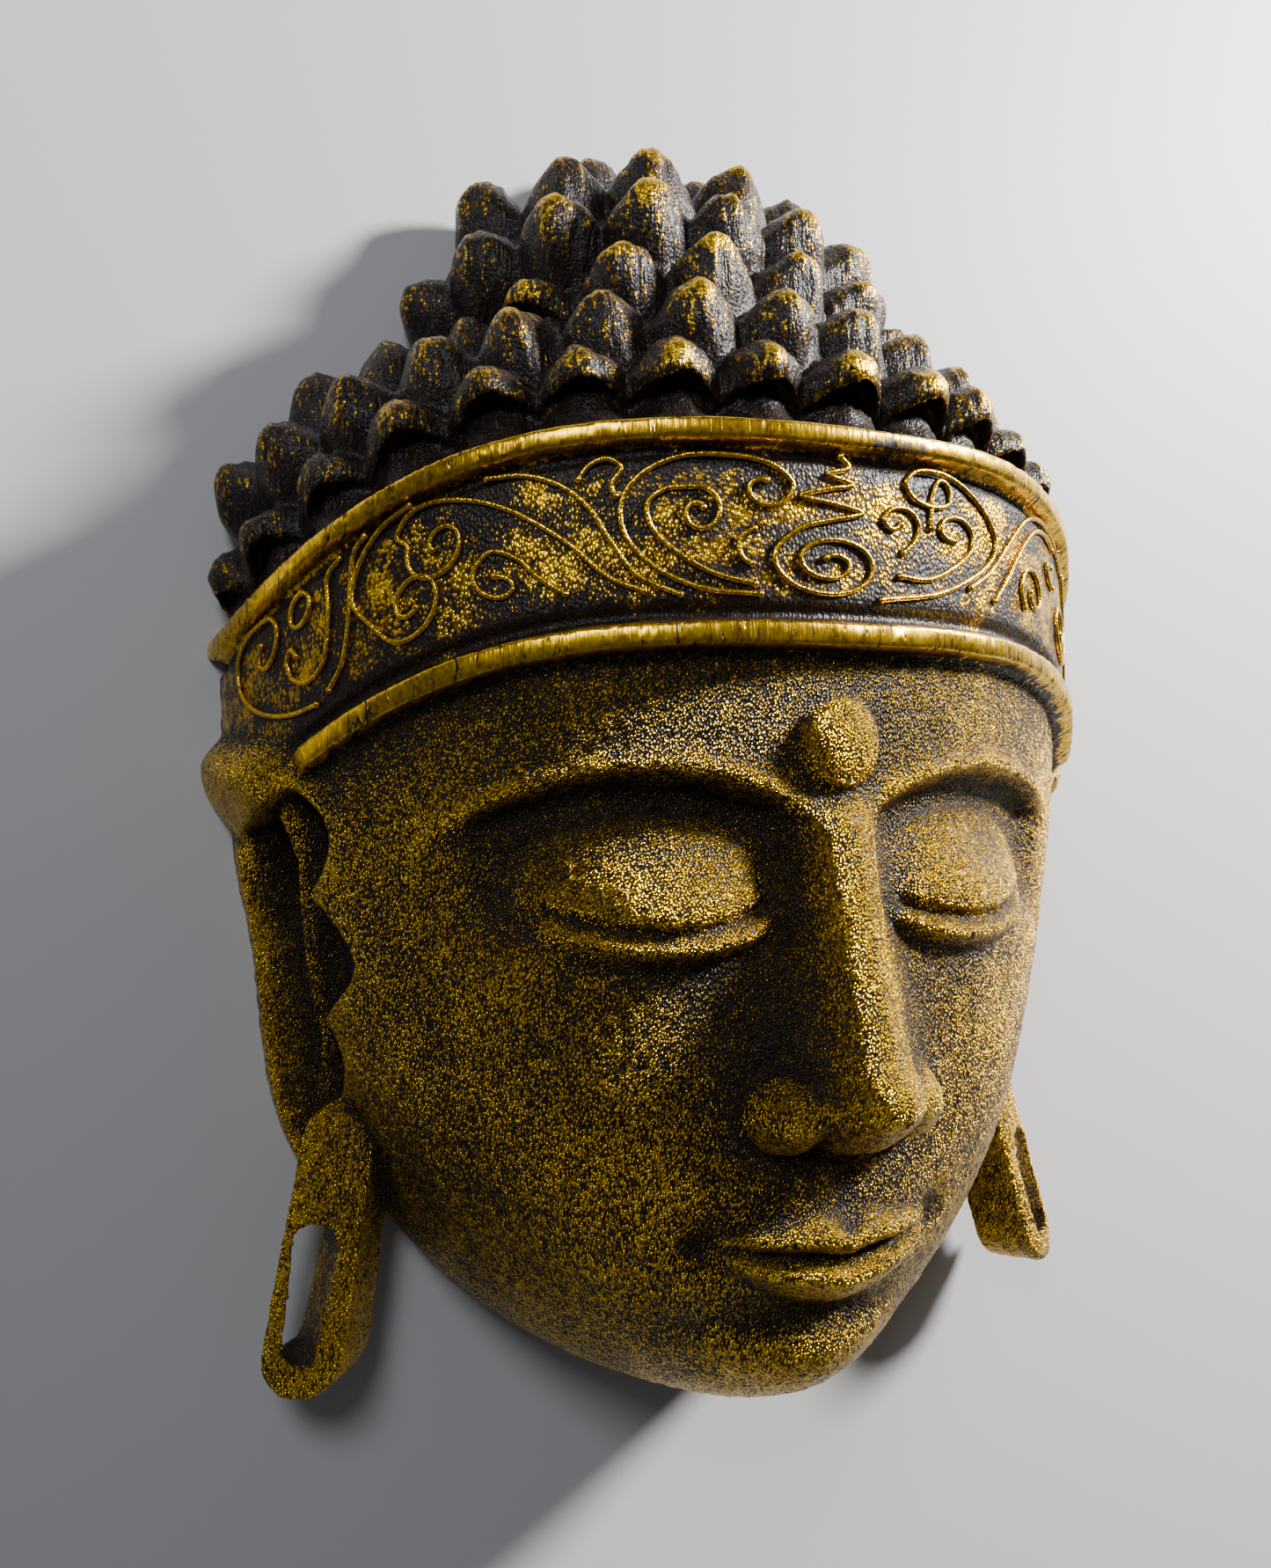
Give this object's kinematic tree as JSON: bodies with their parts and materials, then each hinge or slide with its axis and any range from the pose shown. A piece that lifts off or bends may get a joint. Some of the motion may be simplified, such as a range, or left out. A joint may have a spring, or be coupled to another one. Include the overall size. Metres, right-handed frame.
{
  "type": "buddha mask",
  "caption": "Carved wooden wall mask of a calm Buddha face with lowered eyes, a scroll band, pointed hair curls, a crown bun and long pierced ear lobes, lying face up.",
  "frame": {"origin": "middle of the mask's outline on the back plane, the plane of the flat back rim", "axes": "+Z out of the face, +Y towards the top of the head, +X towards the right as the face is looked at"},
  "size_m": [0.2318, 0.3078, 0.1124],
  "materials": {
    "gilded_black_wood": "black-brown stain over a gritty ground, brushed with gold paint on the raised parts"
  },
  "bodies": {
    "root": {"buddha_mask": "gilded_black_wood"}
  },
  "joints": []
}
